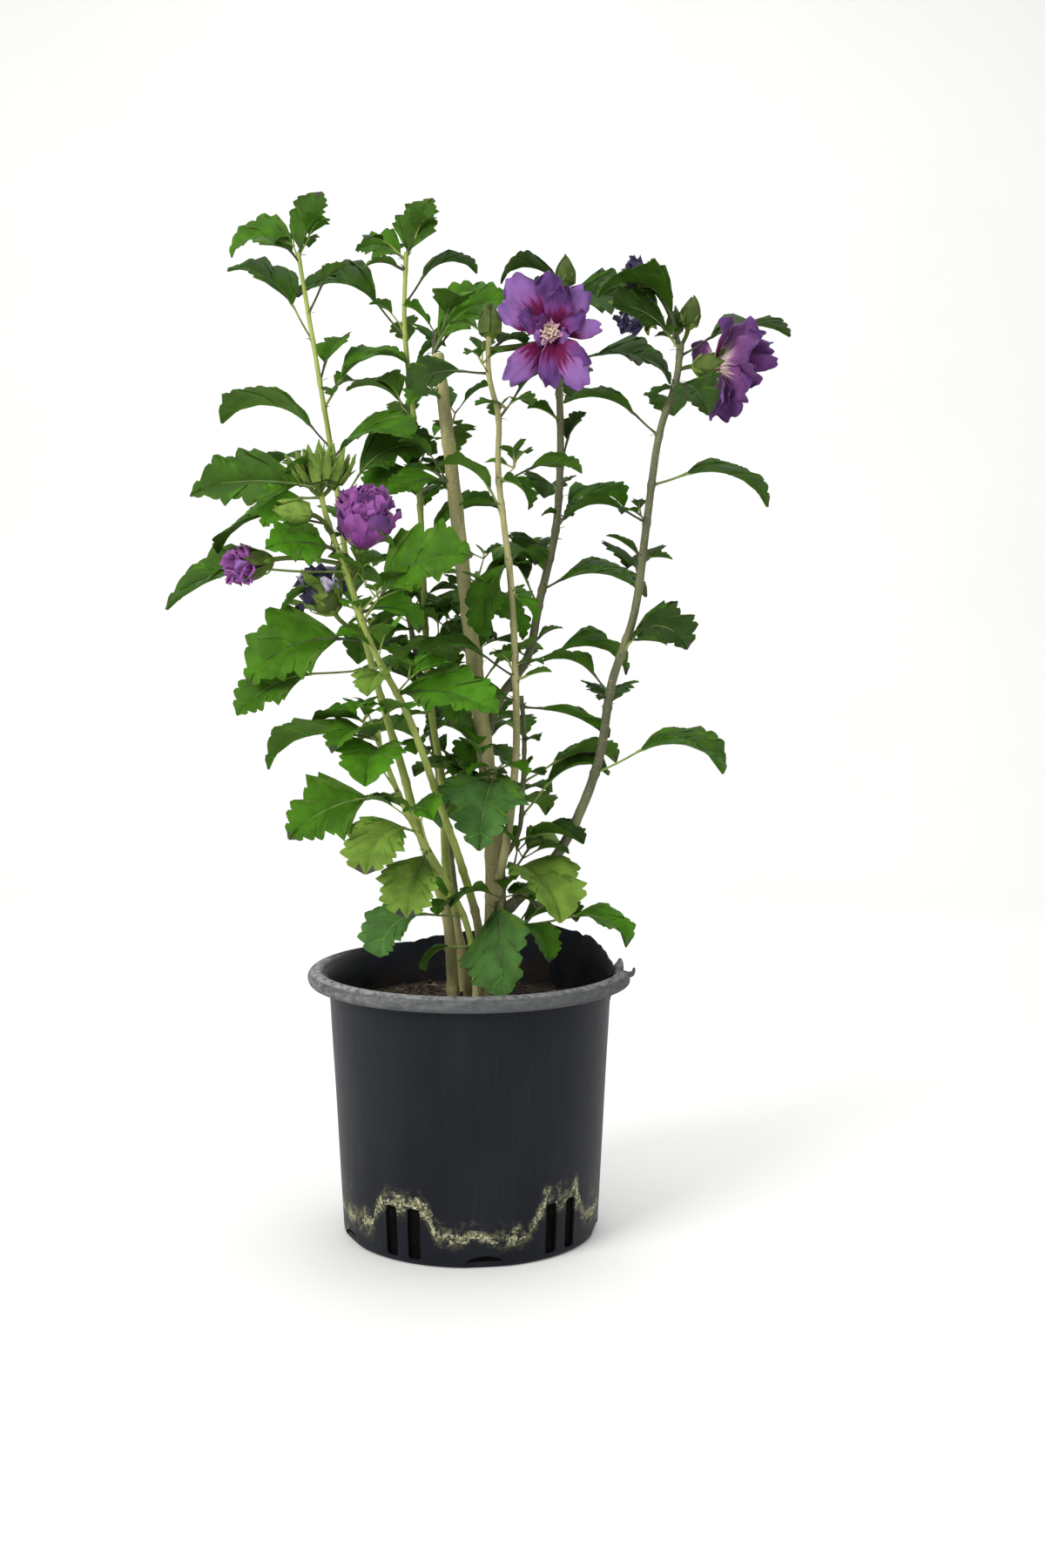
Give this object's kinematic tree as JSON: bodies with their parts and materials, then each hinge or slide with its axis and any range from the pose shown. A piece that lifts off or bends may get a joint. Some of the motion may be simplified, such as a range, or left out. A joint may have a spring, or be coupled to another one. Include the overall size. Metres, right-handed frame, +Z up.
{
  "type": "potted hibiscus shrub",
  "caption": "Flowering hibiscus shrub with upright stems, lobed leaves and lilac blooms, standing in its black nursery pot.",
  "frame": {"origin": "middle of the pot's flat underside, on the surface that the pot stands on", "axes": "+Z up along the plant, +X to the right and +Y to the back as the plant is seen from the front"},
  "size_m": [0.3898, 0.2652, 0.6761],
  "materials": {
    "black_plastic": "matt, scuffed",
    "potting_soil": "rough, crumbly",
    "tan_bark": "fine-grained matt bark",
    "green_bark": "smooth young bark",
    "hibiscus_leaf": "satin leaf"
  },
  "bodies": {
    "root": {"pot": "black_plastic", "soil": "potting_soil", "trunk": "tan_bark", "bough_left": "green_bark", "bough_left_front": "green_bark", "bough_front_low": "tan_bark", "bough_mid_left": "green_bark", "bough_centre": "tan_bark", "bough_right_centre": "tan_bark", "bough_right": "tan_bark", "bough_back_left": "green_bark", "bough_back_right": "tan_bark", "shoot_left": "hibiscus_leaf", "shoot_left_front": "hibiscus_leaf", "shoot_front_low": "hibiscus_leaf", "shoot_mid_left": "hibiscus_leaf", "shoot_centre": "hibiscus_leaf", "shoot_centre_thin": "hibiscus_leaf", "shoot_right_centre": "hibiscus_leaf", "shoot_right": "hibiscus_leaf", "shoot_back_left": "hibiscus_leaf", "shoot_back_right": "hibiscus_leaf", "sprig_trunk_top": "hibiscus_leaf", "sprig_upper_front": "hibiscus_leaf", "sprig_upper_left": "hibiscus_leaf", "sprig_upper_right": "hibiscus_leaf", "sprig_middle_left": "hibiscus_leaf", "sprig_middle_right": "hibiscus_leaf", "sprig_low_front": "hibiscus_leaf", "sprig_low_left": "hibiscus_leaf", "sprig_low_back": "hibiscus_leaf", "sprig_low_right": "hibiscus_leaf", "sprig_foot_front": "hibiscus_leaf", "sprig_foot_right": "hibiscus_leaf"}
  },
  "joints": []
}
